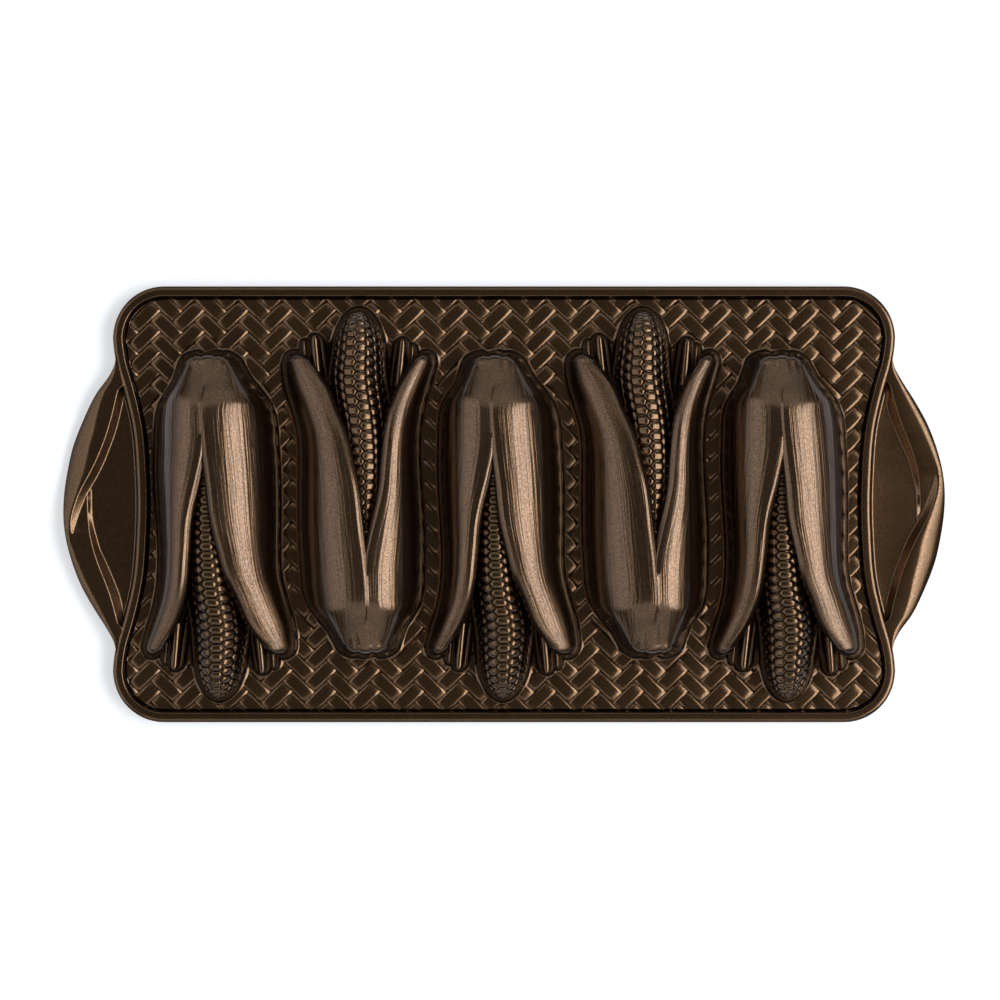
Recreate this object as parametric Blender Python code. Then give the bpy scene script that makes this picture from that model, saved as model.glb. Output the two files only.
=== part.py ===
"""Cast aluminium baking pan with five moulds shaped as ears of corn in their husks, upside down on its rim.

Metres, +Z up. The origin is on the plane that the rim rests on, under the middle of the pan. X runs along the
pan from handle to handle and Y across it. The moulds' mouths open downwards.
"""

import math

import bmesh
import bpy
from mathutils import Matrix

# Pan body and its raised rim
BODY_LENGTH = 0.346
BODY_WIDTH = 0.193
CORNER_RADIUS = 0.0226
RIM_WIDTH = 0.0051
RIM_HEIGHT = 0.0072
RIM_BOW = 0.0106
CORNER_STEPS = 7
SIDE_STEPS = 18
END_STEPS = 4
BEAD_STEPS = 5

# Woven deck between the rim and the moulds
DECK_LIFT = 0.0015
DECK_THICKNESS = 0.0032

# Leaf handles at the two ends
HANDLE_REACH = 0.0222
HANDLE_SPAN = 0.122
HANDLE_HEIGHT = 0.0070
HANDLE_EDGE = 0.0026
HANDLE_BEVEL = 0.0052
HANDLE_BEVEL_SHARE = 0.6
PANEL_THICKNESS = 0.0024
HANDLE_STEPS = 12

# Corn moulds
MOULD_COUNT = 5
MOULD_HEIGHT = 0.027
MOULD_SHIFT = 0.0083
MOULD_OFFSET_X = -0.0010
TIP_MARGIN = 0.00435
SIDE_MARGIN = 0.0043
MOULD_GAP = 0.0075
WAIST_SHARE = 0.8
WALL = 0.0030
LEAF_BEVEL = 0.0028
LEAF_LIP_SHARE = 0.9
LEAF_BEVEL_SHARE = 0.3
FOOT_DEPTH = 0.002
ARC_STEPS = 6
TIP_SHARES = (0.35, 0.65, 0.85, 0.97)
TIP_SWAY_SHARE = 0.5

# Space left between sections that touch, and how far a cutter runs past what it cuts
SEAM = 0.0003
OVERRUN = 0.006

# How far the rim bows inwards beside a handle: (share of the handle's half span, share of the bow)
BOW_SHARES = (
    (-0.2, 0.97),
    (0.0, 1.0),
    (0.2, 0.97),
    (0.54, 0.82),
    (0.82, 0.46),
    (1.03, 0.12),
    (1.18, 0.0),
    (2.0, 0.0),
)

# Handle outline: (share of the half span, share of the reach)
HANDLE_OUTLINE_SHARES = (
    (1.0, 0.03),
    (0.92, 0.12),
    (0.81, 0.33),
    (0.62, 0.60),
    (0.42, 0.82),
    (0.2, 0.95),
    (0.0, 1.0),
    (-0.2, 0.965),
    (-0.4, 0.84),
    (-0.6, 0.63),
    (-0.76, 0.38),
    (-0.9, 0.15),
    (-1.0, 0.03),
)
# Inner edges of a handle's two leaves: (share of the half span, share of the reach past the body)
UPPER_LEAF_EDGE_SHARES = (
    (1.0, -0.06),
    (0.84, -0.16),
    (0.62, 0.03),
    (0.35, 0.27),
    (0.09, 0.47),
    (-0.06, 0.66),
    (-0.15, 0.80),
)
LOWER_LEAF_EDGE_SHARES = (
    (0.06, 0.49),
    (-0.12, 0.46),
    (-0.36, 0.35),
    (-0.55, 0.20),
    (-0.70, 0.03),
    (-0.88, -0.12),
    (-1.0, -0.06),
)
# Where each leaf begins and ends along the half span
UPPER_LEAF_END_SHARES = (0.99, -0.15)
LOWER_LEAF_END_SHARES = (0.055, -0.98)

# Stations of one mould, in shares of its half length, half width and height.
# The cob's tip points to -Y. Leaves: (along, outer edge, inner edge, top)
LEFT_LEAF_SHARES = (
    (0.90, -0.40, -0.06, 0.46),
    (0.80, -0.58, -0.06, 0.75),
    (0.66, -0.755, -0.05, 0.93),
    (0.43, -0.80, -0.05, 0.965),
    (0.25, -0.80, -0.13, 0.94),
    (0.02, -0.77, -0.25, 0.87),
    (-0.16, -0.75, -0.29, 0.80),
    (-0.33, -0.765, -0.33, 0.71),
    (-0.45, -0.81, -0.385, 0.62),
    (-0.58, -0.90, -0.505, 0.50),
    (-0.68, -0.965, -0.66, 0.41),
)
RIGHT_LEAF_SHARES = (
    (0.90, 0.30, -0.10, 0.46),
    (0.80, 0.50, -0.165, 0.78),
    (0.66, 0.67, -0.185, 0.97),
    (0.43, 0.75, -0.15, 1.0),
    (0.25, 0.77, -0.10, 0.985),
    (0.02, 0.775, -0.04, 0.925),
    (-0.16, 0.77, 0.055, 0.845),
    (-0.30, 0.79, 0.135, 0.76),
    (-0.42, 0.86, 0.25, 0.66),
    (-0.58, 0.965, 0.405, 0.52),
    (-0.68, 0.99, 0.60, 0.42),
)
LEAF_TIP_SHARE = 0.075
# Rounded forms: (along, middle, half width, top)
COB_SHARES = (
    (0.36, -0.10, 0.10, 0.74),
    (0.15, -0.10, 0.24, 0.78),
    (-0.10, -0.09, 0.33, 0.77),
    (-0.35, -0.05, 0.36, 0.74),
    (-0.60, 0.03, 0.365, 0.68),
    (-0.76, 0.02, 0.33, 0.60),
)
COB_TIP_SHARE = 0.235
STALK_LOBE_SHARES = (
    ((0.70, -0.31, 0.20, 0.76), (0.90, -0.27, 0.17, 0.62)),
    ((0.70, -0.07, 0.16, 0.86), (0.935, -0.05, 0.13, 0.62)),
    ((0.70, 0.20, 0.19, 0.76), (0.91, 0.15, 0.155, 0.60)),
)
LOBE_TIP_SHARE = 0.05
LEFT_LEAFLET_SHARES = (
    ((-0.44, -0.38, 0.13, 0.38), (-0.79, -0.53, 0.10, 0.27)),
    ((-0.60, -0.60, 0.09, 0.22), (-0.755, -0.65, 0.08, 0.16)),
)
RIGHT_LEAFLET_SHARES = (
    ((-0.44, 0.42, 0.13, 0.38), (-0.81, 0.55, 0.10, 0.27)),
    ((-0.60, 0.64, 0.09, 0.22), (-0.775, 0.685, 0.08, 0.16)),
)
LEAFLET_TIP_SHARE = 0.04
LEAST_TIP_SHARE = 0.01
# Inside of a mould under its leaves and cob
HOLLOW_SHARES = (
    (0.86, -0.05, 0.22, 0.36),
    (0.72, -0.05, 0.52, 0.66),
    (0.48, -0.03, 0.67, 0.78),
    (0.28, -0.02, 0.68, 0.75),
    (0.14, -0.01, 0.68, 0.65),
    (-0.16, 0.00, 0.64, 0.60),
    (-0.34, 0.02, 0.46, 0.50),
)
HOLLOW_TIP_SHARE = 0.06
HOLLOW_LOW = -2 * OVERRUN

# Coating
BRONZE_COLOUR = (0.105, 0.066, 0.036)
DARK_BRONZE_COLOUR = (0.072, 0.047, 0.027)

deck_top = DECK_LIFT + DECK_THICKNESS
half_length = BODY_LENGTH / 2
half_width = BODY_WIDTH / 2
half_span = HANDLE_SPAN / 2

# The moulds are as long as the body's width has room for when each is shifted towards its stalk's end.
# Their waists share the length that the rim and the gaps between waists leave.
mould_length = BODY_WIDTH - 2 * (RIM_WIDTH + TIP_MARGIN + MOULD_SHIFT)
row_length = BODY_LENGTH - 2 * (RIM_WIDTH + RIM_BOW + SIDE_MARGIN)
mould_waist = (row_length - (MOULD_COUNT - 1) * MOULD_GAP) / MOULD_COUNT
mould_pitch = mould_waist + MOULD_GAP
mould_half_length = mould_length / 2
mould_half_width = mould_waist / WAIST_SHARE / 2


# Scene and collections
for old in list(bpy.data.objects):
    bpy.data.objects.remove(old, do_unlink=True)
for old in list(bpy.data.collections):
    bpy.data.collections.remove(old)

parts = bpy.data.collections.new("corn_cake_pan")
cutters = bpy.data.collections.new("cutters")
for collection in (parts, cutters):
    bpy.context.scene.collection.children.link(collection)


# Materials
def coating(name, colour, roughness):
    material = bpy.data.materials.new(name)
    material.use_nodes = True
    shader = material.node_tree.nodes["Principled BSDF"]
    shader.inputs["Base Color"].default_value = (*colour, 1.0)
    shader.inputs["Metallic"].default_value = 0.85
    shader.inputs["Roughness"].default_value = roughness
    material.diffuse_color = (*colour, 1.0)
    return material


# Mesh helpers
def link_mesh(name, mesh, collection):
    thing = bpy.data.objects.new(name, mesh)
    collection.objects.link(thing)
    if collection is cutters:
        thing.hide_render = True
        thing.display_type = "WIRE"
    return thing


def loft(name, rings, collection=cutters):
    """A closed solid through rings of equally many points, with its first and last ring capped."""
    bm = bmesh.new()
    made = [[bm.verts.new(point) for point in ring] for ring in rings]
    count = len(rings[0])
    for near, far in zip(made, made[1:]):
        for i in range(count):
            j = (i + 1) % count
            bm.faces.new((near[i], near[j], far[j], far[i]))
    bm.faces.new(made[0])
    bm.faces.new(list(reversed(made[-1])))
    bmesh.ops.recalc_face_normals(bm, faces=bm.faces)
    mesh = bpy.data.meshes.new(name)
    bm.to_mesh(mesh)
    bm.free()
    return link_mesh(name, mesh, collection)


def plate(name, outline, low, high, collection=cutters):
    """A flat solid with this outline between two heights."""
    rings = [[(x, y, z) for x, y in outline] for z in (low, high)]
    return loft(name, rings, collection)


def add_booleans(thing, operation, others):
    for other in others:
        modifier = thing.modifiers.new(f"{operation.lower()} {other.name}", "BOOLEAN")
        modifier.operation = operation
        modifier.solver = "EXACT"
        modifier.object = other


def joined(name, pieces):
    """One cutter made of several overlapping ones."""
    first = pieces[0]
    add_booleans(first, "UNION", pieces[1:])
    mesh = evaluated_mesh(name, first)
    for piece in pieces:
        bpy.data.objects.remove(piece, do_unlink=True)
    return link_mesh(name, mesh, cutters)


def evaluated_mesh(name, thing):
    bpy.context.view_layer.update()
    graph = bpy.context.evaluated_depsgraph_get()
    mesh = bpy.data.meshes.new_from_object(thing.evaluated_get(graph))
    mesh.name = name
    return mesh


def finish(thing, material, sharp_degrees=40):
    thing.data.materials.clear()
    thing.data.materials.append(material)
    thing.data.shade_smooth()
    thing.data.set_sharp_from_angle(angle=math.radians(sharp_degrees))
    return thing


def smooth_value(points, share):
    """The value at this share on a smooth curve through (share, value) points, which may run either way."""
    ordered = sorted(points)
    share = min(max(share, ordered[0][0]), ordered[-1][0])
    slopes = [(b[1] - a[1]) / (b[0] - a[0]) for a, b in zip(ordered, ordered[1:])]
    slopes = [slopes[0]] + [(a + b) / 2 for a, b in zip(slopes, slopes[1:])] + [slopes[-1]]
    for i, (low, high) in enumerate(zip(ordered, ordered[1:])):
        if share <= high[0]:
            break
    width = high[0] - low[0]
    t = (share - low[0]) / width
    start = (1 + 2 * t) * (1 - t) ** 2 * low[1] + t * (1 - t) ** 2 * width * slopes[i]
    end = t**2 * (3 - 2 * t) * high[1] + t**2 * (t - 1) * width * slopes[i + 1]
    return start + end


# Rim: a rounded bead round the body, bowed inwards beside each handle
def bow_at(y):
    return RIM_BOW * smooth_value(BOW_SHARES, abs(y) / half_span)


def body_outline(inset):
    """The body's outline as seen from above, this far inside the rim's outer edge, counter-clockwise."""
    radius = CORNER_RADIUS - inset
    middle_x = half_length - CORNER_RADIUS
    middle_y = half_width - CORNER_RADIUS
    right_end = [-middle_y + 2 * middle_y * i / SIDE_STEPS for i in range(SIDE_STEPS + 1)]
    points = [(half_length - inset - bow_at(y), y) for y in right_end]
    corner = [math.pi / 2 * i / CORNER_STEPS for i in range(1, CORNER_STEPS + 1)]
    points += [(middle_x + radius * math.cos(a), middle_y + radius * math.sin(a)) for a in corner]
    run = [middle_x - 2 * middle_x * i / END_STEPS for i in range(1, END_STEPS)]
    points += [(x, half_width - inset) for x in run]
    far_corner = [0.0] + corner[:-1]
    points += [(-middle_x - radius * math.sin(a), middle_y + radius * math.cos(a)) for a in far_corner]
    return points + [(-x, -y) for x, y in points]


def rim_rings():
    """The bead's outline at each point of its section: up outside, over the crown and down inside."""
    crown = RIM_WIDTH / 2
    shoulder = RIM_HEIGHT - crown
    section = [(0.0, 0.0)]
    for i in range(BEAD_STEPS + 1):
        angle = math.pi * i / BEAD_STEPS
        section.append((crown - crown * math.cos(angle), shoulder + crown * math.sin(angle)))
    section.append((RIM_WIDTH, 0.0))
    return [[(x, y, z) for x, y in body_outline(inset)] for inset, z in section]


def closed_band(name, rings, collection):
    """A ring-shaped solid: the rings follow one another round its section and the last joins the first."""
    bm = bmesh.new()
    made = [[bm.verts.new(point) for point in ring] for ring in rings]
    count = len(rings[0])
    for near, far in zip(made, made[1:] + made[:1]):
        for i in range(count):
            j = (i + 1) % count
            bm.faces.new((near[i], near[j], far[j], far[i]))
    bmesh.ops.recalc_face_normals(bm, faces=bm.faces)
    mesh = bpy.data.meshes.new(name)
    bm.to_mesh(mesh)
    bm.free()
    return link_mesh(name, mesh, collection)


bronze = coating("bronze_coating", BRONZE_COLOUR, 0.34)
dark_bronze = coating("woven_deck_coating", DARK_BRONZE_COLOUR, 0.42)

finish(closed_band("rim", rim_rings(), parts), bronze)


# Corn mould forms
def at_mould(along, across, height):
    """A point of the mould from its shares, with the height counted from the deck."""
    return along * mould_half_length, across * mould_half_width, deck_top + height * MOULD_HEIGHT


def leaf_ring(station, inset, low, shrink=1.0):
    """One section of a husk leaf: up its inner side, over a bevel to the crest, down a quarter ellipse."""
    y, outer, top = at_mould(station[0], station[1], station[3])
    inner = station[2] * mould_half_width
    side = math.copysign(1.0, outer)
    outer -= side * inset
    inner += side * inset
    top -= inset
    middle = (outer + inner) / 2
    outer = middle + (outer - middle) * shrink
    inner = middle + (inner - middle) * shrink
    top = deck_top + (top - deck_top) * shrink
    bevel = min(LEAF_BEVEL, abs(outer - inner) * LEAF_BEVEL_SHARE)
    crest = inner + side * bevel
    foot = min(deck_top, top - bevel) - FOOT_DEPTH
    points = [(inner, y, low), (inner, y, max(top - bevel * LEAF_LIP_SHARE, foot))]
    for i in range(ARC_STEPS + 1):
        angle = math.pi / 2 * i / ARC_STEPS
        points.append((crest + (outer - crest) * math.sin(angle), y, foot + (top - foot) * math.cos(angle)))
    points.append((outer, y, low))
    return points


def dome_ring(station, inset, low, shrink=1.0):
    """One section of a rounded form: straight sides under half an ellipse."""
    y, middle, top = at_mould(station[0], station[1], station[3])
    half = (station[2] * mould_half_width - inset) * shrink
    top = deck_top + (top - inset - deck_top) * shrink
    foot = deck_top - FOOT_DEPTH
    points = [(middle - half, y, low)]
    for i in range(ARC_STEPS + 1):
        angle = math.pi * i / ARC_STEPS
        points.append((middle - half * math.cos(angle), y, foot + (top - foot) * math.sin(angle)))
    points.append((middle + half, y, low))
    return points


def leaf_print(station, inset, low, shrink=1.0):
    """The upright sides of a leaf at one section, without its top."""
    ring = leaf_ring(station, inset, low, shrink)
    (inner, y, _), (outer, _, _) = ring[0], ring[-1]
    return [(inner, y, low), (inner, y, deck_top + OVERRUN), (outer, y, deck_top + OVERRUN), (outer, y, low)]


def dome_print(station, inset, low, shrink=1.0):
    """The upright sides of a rounded form at one section, without its top."""
    ring = dome_ring(station, inset, low, shrink)
    (left, y, _), (right, _, _) = ring[0], ring[-1]
    return [(left, y, low), (left, y, deck_top + OVERRUN), (right, y, deck_top + OVERRUN), (right, y, low)]


def with_round_end(ring, stations, inset, low, tip):
    """Rings through the stations, then a rounded end past the last one."""
    rings = [ring(station, inset, low) for station in stations]
    last = stations[-1]
    before = stations[-2]
    for share in TIP_SHARES:
        past = tip * share
        ahead = past / abs(last[0] - before[0])
        sway = ahead * TIP_SWAY_SHARE
        direction = math.copysign(1.0, last[0] - before[0])
        along = last[0] + direction * past
        first_edge = last[1] + (last[1] - before[1]) * sway
        second_edge = last[2]
        if ring in (leaf_ring, leaf_print):
            second_edge += (last[2] - before[2]) * sway
        station = (along, first_edge, second_edge, last[3])
        rings.append(ring(station, inset, low, math.sqrt(1 - share**2)))
    return rings


def mould_form(name, ring, stations, inset, tip, low=-OVERRUN):
    """A solid form of the mould. One that is inset by the wall's thickness is the hollow inside it."""
    shorter = max(tip - inset / mould_half_length, LEAST_TIP_SHARE)
    return loft(name, with_round_end(ring, stations, inset, low, shorter))


def leaf_forms(inset):
    return [
        mould_form("left leaf", leaf_ring, LEFT_LEAF_SHARES, inset, LEAF_TIP_SHARE),
        mould_form("right leaf", leaf_ring, RIGHT_LEAF_SHARES, inset, LEAF_TIP_SHARE),
    ]


def lobe_forms(inset):
    return [mould_form("lobe", dome_ring, lobe, inset, LOBE_TIP_SHARE) for lobe in STALK_LOBE_SHARES]


def cob_form(inset):
    return mould_form("cob form", dome_ring, COB_SHARES, inset, COB_TIP_SHARE)


def leaflet_forms(leaflets, inset):
    return [mould_form("leaflet", dome_ring, leaflet, inset, LEAFLET_TIP_SHARE) for leaflet in leaflets]


def footprint_forms():
    """Upright prisms that together fill the mould's outline at the deck, a seam wider all round."""
    leaves = (LEFT_LEAF_SHARES, RIGHT_LEAF_SHARES)
    leaflets = LEFT_LEAFLET_SHARES + RIGHT_LEAFLET_SHARES
    forms = [mould_form("leaf print", leaf_print, leaf, -SEAM, LEAF_TIP_SHARE) for leaf in leaves]
    forms += [mould_form("lobe print", dome_print, lobe, -SEAM, LOBE_TIP_SHARE) for lobe in STALK_LOBE_SHARES]
    forms += [mould_form("cob print", dome_print, COB_SHARES, -SEAM, COB_TIP_SHARE)]
    forms += [mould_form("leaflet print", dome_print, leaf, -SEAM, LEAFLET_TIP_SHARE) for leaf in leaflets]
    return forms


# One mould at the origin, as meshes that its copies share
hollow = joined(
    "hollow",
    [
        mould_form("core", dome_ring, HOLLOW_SHARES, 0.0, HOLLOW_TIP_SHARE, HOLLOW_LOW),
        mould_form("left leaf hollow", leaf_ring, LEFT_LEAF_SHARES, WALL, LEAF_TIP_SHARE, HOLLOW_LOW),
        mould_form("right leaf hollow", leaf_ring, RIGHT_LEAF_SHARES, WALL, LEAF_TIP_SHARE, HOLLOW_LOW),
        mould_form("cob hollow", dome_ring, COB_SHARES, WALL, COB_TIP_SHARE, HOLLOW_LOW),
    ],
)
husk_space = joined("husk space", leaf_forms(-SEAM))
cob_space = joined("cob space", [cob_form(-SEAM)])
below = plate(
    "below",
    [(sx * mould_waist, sy * mould_length) for sx, sy in ((-1, -1), (1, -1), (1, 1), (-1, 1))],
    -4 * OVERRUN,
    DECK_LIFT,
)

husk = joined("husk form", leaf_forms(0.0) + lobe_forms(0.0))
add_booleans(husk, "DIFFERENCE", [hollow, below])
cob = cob_form(0.0)
add_booleans(cob, "DIFFERENCE", [hollow, husk_space, below])
left_leaflets = joined("left leaflets", leaflet_forms(LEFT_LEAFLET_SHARES, 0.0))
right_leaflets = joined("right leaflets", leaflet_forms(RIGHT_LEAFLET_SHARES, 0.0))
for leaflets in (left_leaflets, right_leaflets):
    add_booleans(leaflets, "DIFFERENCE", [hollow, husk_space, cob_space, below])
mould_hole = joined("mould hole", footprint_forms())

mould_meshes = {
    "husk": evaluated_mesh("husk", husk),
    "cob": evaluated_mesh("cob", cob),
    "leaflet_left": evaluated_mesh("leaflet_left", left_leaflets),
    "leaflet_right": evaluated_mesh("leaflet_right", right_leaflets),
}


def mould_place(index):
    """Where this mould lies. Every second one is turned end for end."""
    across = (index - (MOULD_COUNT - 1) / 2) * mould_pitch + MOULD_OFFSET_X
    turned = index % 2 == 1
    shift = MOULD_SHIFT if turned else -MOULD_SHIFT
    return Matrix.Translation((across, shift, 0.0)) @ Matrix.Rotation(math.pi * turned, 4, "Z")


for index in range(MOULD_COUNT):
    for part, mesh in mould_meshes.items():
        piece = link_mesh(f"{part}_{index + 1}", mesh, parts)
        piece.matrix_world = mould_place(index)
        finish(piece, bronze)


# Deck: the woven plate, open over each mould
deck = plate("deck", body_outline(RIM_WIDTH + SEAM), DECK_LIFT, deck_top, parts)
for index in range(MOULD_COUNT):
    hole = link_mesh(f"mould hole {index + 1}", mould_hole.data, cutters)
    hole.matrix_world = mould_place(index)
    add_booleans(deck, "DIFFERENCE", [hole])
finish(deck, dark_bronze)


# Handles: two overlapping leaves round a thin closed panel
def handle_outer(share):
    return -half_length - HANDLE_REACH * smooth_value(HANDLE_OUTLINE_SHARES, share)


def rim_side(y):
    """The rim's outer edge at the left end of the pan, less the seam."""
    return -half_length + bow_at(y) - SEAM


def leaf_inner(edge, share):
    return min(-half_length - HANDLE_REACH * smooth_value(edge, share), rim_side(share * half_span))


def handle_leaf_ring(edge, share, grow):
    """One section of a handle leaf: a thin outer edge, a bevel to the flat top, a straight inner side."""
    y = share * half_span
    outer = handle_outer(share) - grow
    inner = leaf_inner(edge, share) + grow
    crest = outer + min(HANDLE_BEVEL, (inner - outer) * HANDLE_BEVEL_SHARE)
    low = -grow
    return [
        (outer, y, low),
        (outer, y, HANDLE_EDGE + grow),
        (crest, y, HANDLE_HEIGHT + grow),
        (inner, y, HANDLE_HEIGHT + grow),
        (inner, y, low),
    ]


def handle_leaf(name, edge, start, end, grow, collection=cutters):
    shares = [start + (end - start) * i / HANDLE_STEPS for i in range(HANDLE_STEPS + 1)]
    return loft(name, [handle_leaf_ring(edge, share, grow) for share in shares], collection)


upper_start, upper_end = UPPER_LEAF_END_SHARES
past_upper = upper_end - SEAM / half_span
upper_leaf = handle_leaf("upper leaf", UPPER_LEAF_EDGE_SHARES, upper_start, upper_end, 0.0)
upper_space = handle_leaf("upper space", UPPER_LEAF_EDGE_SHARES, upper_start, past_upper, SEAM)
lower_leaf = handle_leaf("lower leaf", LOWER_LEAF_EDGE_SHARES, *LOWER_LEAF_END_SHARES, 0.0)
add_booleans(lower_leaf, "DIFFERENCE", [upper_space])


def panel_outline():
    """The panel's outline: down beside the two leaves and up beside the rim, where there is room."""
    outer = []
    inner = []
    for i in range(-HANDLE_STEPS, HANDLE_STEPS + 1):
        share = -i / HANDLE_STEPS
        y = share * half_span
        edge = UPPER_LEAF_EDGE_SHARES if share > LOWER_LEAF_END_SHARES[0] else LOWER_LEAF_EDGE_SHARES
        beside_leaf = leaf_inner(edge, share) + SEAM
        if rim_side(y) - beside_leaf > SEAM:
            outer.append((beside_leaf, y))
            inner.append((rim_side(y), y))
    return outer + inner[::-1]


panel = plate("panel", panel_outline(), DECK_LIFT, DECK_LIFT + PANEL_THICKNESS)
handle_meshes = {
    "upper_leaf": evaluated_mesh("handle_upper_leaf", upper_leaf),
    "lower_leaf": evaluated_mesh("handle_lower_leaf", lower_leaf),
    "panel": evaluated_mesh("handle_panel", panel),
}
for side, turn in (("left", 0.0), ("right", math.pi)):
    for part, mesh in handle_meshes.items():
        piece = link_mesh(f"handle_{side}_{part}", mesh, parts)
        piece.rotation_euler = (0.0, 0.0, turn)
        finish(piece, bronze)
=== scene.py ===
"""Corn cake pan: a cast aluminium baking pan with five moulds shaped as husked ears of corn.

The pan lies upside down on its rim, as it does in the photograph. Metres, +Z up, +X from handle to handle.
"""

import math

import bmesh
import bpy
from mathutils import Matrix, Vector


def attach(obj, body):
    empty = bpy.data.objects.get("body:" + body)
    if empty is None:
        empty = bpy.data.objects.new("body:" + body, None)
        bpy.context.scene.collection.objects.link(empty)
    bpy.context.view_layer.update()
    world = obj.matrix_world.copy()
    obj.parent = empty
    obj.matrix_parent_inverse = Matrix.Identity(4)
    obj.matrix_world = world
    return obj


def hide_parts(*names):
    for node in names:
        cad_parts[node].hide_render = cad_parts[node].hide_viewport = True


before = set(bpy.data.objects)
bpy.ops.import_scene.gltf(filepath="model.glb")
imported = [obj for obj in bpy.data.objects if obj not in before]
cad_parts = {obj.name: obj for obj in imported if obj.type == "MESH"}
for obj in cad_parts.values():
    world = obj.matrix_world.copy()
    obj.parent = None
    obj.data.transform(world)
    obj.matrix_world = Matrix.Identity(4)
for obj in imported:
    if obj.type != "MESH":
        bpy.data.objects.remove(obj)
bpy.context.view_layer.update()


# Camera and studio
# The pan is seen from straight above. A softbox on the right, brighter in its middle, gives the bright bands,
# a dim one on the left the grey bands, and two faint ones light the long sides. Nothing hangs overhead, so
# level faces stay dark. The floor is a pale sweep, and glows a little where it is seen or mirrored.
CAMERA_PLACE = (-0.0018, 0.0019, 1.005)
CAMERA_LENS = 81.3
SENSOR_WIDTH = 36.0
LAMP_DISTANCE = 2.6
LAMP_COLOUR = (1.0, 1.07, 1.17)
# Each softbox: (name, turned about Z, tilted from overhead, width, length, radiance)
SOFTBOXES = (
    ("right_softbox", -6.0, 46.0, 1.55, 2.7, 2.5),
    ("right_softbox_middle", -6.0, 46.0, 0.9, 2.3, 3.2),
    ("left_softbox", 180.0, 60.0, 2.5, 3.6, 0.56),
    ("front_softbox", -90.0, 50.0, 1.9, 3.0, 0.36),
    ("back_softbox", 90.0, 50.0, 1.9, 4.0, 0.31),
)
WHITE = (1.0, 1.0, 1.0, 1.0)
AMBIENT = 0.06
FLOOR_COLOUR = (0.86, 0.86, 0.86, 1.0)
FLOOR_ROUGHNESS = 0.9
FLOOR_GLOW = 0.50
FLOOR_SIZE = 30.0
FLOOR_DROP = 0.0002


def with_values(node, **values):
    """The shader node with these values in its sockets, whose names are given with _ for each space."""
    for socket, value in values.items():
        node.inputs[socket.replace("_", " ")].default_value = value
    return node


bpy.ops.object.select_all(action="DESELECT")
bpy.ops.object.camera_add(location=CAMERA_PLACE, rotation=(0.0, 0.0, 0.0))
camera = bpy.context.object
camera.name = "photo_camera"
camera.data.lens = CAMERA_LENS
camera.data.sensor_width = SENSOR_WIDTH
bpy.context.scene.camera = camera

for name, turn, tilt, width, length, radiance in SOFTBOXES:
    aim = Matrix.Rotation(math.radians(turn), 3, "Z") @ Matrix.Rotation(math.radians(tilt), 3, "Y")
    place = aim @ Vector((0.0, 0.0, LAMP_DISTANCE))
    bpy.ops.object.light_add(type="AREA", location=place, rotation=aim.to_euler())
    lamp = bpy.context.object
    lamp.name = name
    lamp.data.shape = "RECTANGLE"
    lamp.data.color = LAMP_COLOUR
    lamp.data.size = width
    lamp.data.size_y = length
    lamp.data.energy = radiance * math.pi * width * length

world = bpy.data.worlds.new("studio")
bpy.context.scene.world = world
world.use_nodes = True
with_values(world.node_tree.nodes["Background"], Color=WHITE, Strength=AMBIENT)
bpy.context.scene.view_settings.view_transform = "Standard"

bpy.ops.mesh.primitive_plane_add(size=FLOOR_SIZE, location=(0.0, 0.0, -FLOOR_DROP))
floor = bpy.context.object
floor.name = "floor"
floor_paint = bpy.data.materials.new("pale_floor")
floor_paint.use_nodes = True
nodes = floor_paint.node_tree.nodes
links = floor_paint.node_tree.links
shader = with_values(nodes["Principled BSDF"], Base_Color=FLOOR_COLOUR, Roughness=FLOOR_ROUGHNESS,
                     Specular_IOR_Level=0.0, Emission_Color=WHITE)
rays = nodes.new("ShaderNodeLightPath")
seen = rays.outputs["Is Camera Ray"]
for ray in ("Is Glossy Ray", "Is Transmission Ray"):
    either = nodes.new("ShaderNodeMath")
    either.operation = "MAXIMUM"
    links.new(seen, either.inputs[0])
    links.new(rays.outputs[ray], either.inputs[1])
    seen = either.outputs["Value"]
glow = nodes.new("ShaderNodeMath")
glow.operation = "MULTIPLY"
glow.inputs[1].default_value = FLOOR_GLOW
links.new(seen, glow.inputs[0])
links.new(glow.outputs["Value"], shader.inputs["Emission Strength"])
floor.data.materials.append(floor_paint)


# Rim
# The raised bead round the edge, cast in aluminium in one with the deck. Its outer wall is upright, its crown
# nearly flat with rounded edges, and a small fillet joins its inner wall to the deck. The pan stands on it.
BODY_LENGTH = 0.346
BODY_WIDTH = 0.193
CORNER_RADIUS = 0.0226
RIM_WIDTH = 0.0051
RIM_BASE = 0.00035
RIM_WALL = 0.00533
RIM_BOW = 0.0106
HANDLE_SPAN = 0.122
CORNER_STEPS = 14
SIDE_STEPS = 60
END_STEPS = 8
# How an end bows inwards: (distance from its middle in half spans of the handle, share of the bow)
BOW_SHARES = (
    (-0.2, 0.97), (0.0, 1.0), (0.2, 0.97), (0.54, 0.82), (0.82, 0.46), (1.03, 0.12), (1.18, 0.0), (2.0, 0.0),
)
# Heights of the deck's underside, of the gaps in its weave and of the weave's top
DECK_LIFT = 0.0015
DECK_FLOOR = 0.0030
DECK_TOP = 0.0047
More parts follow.
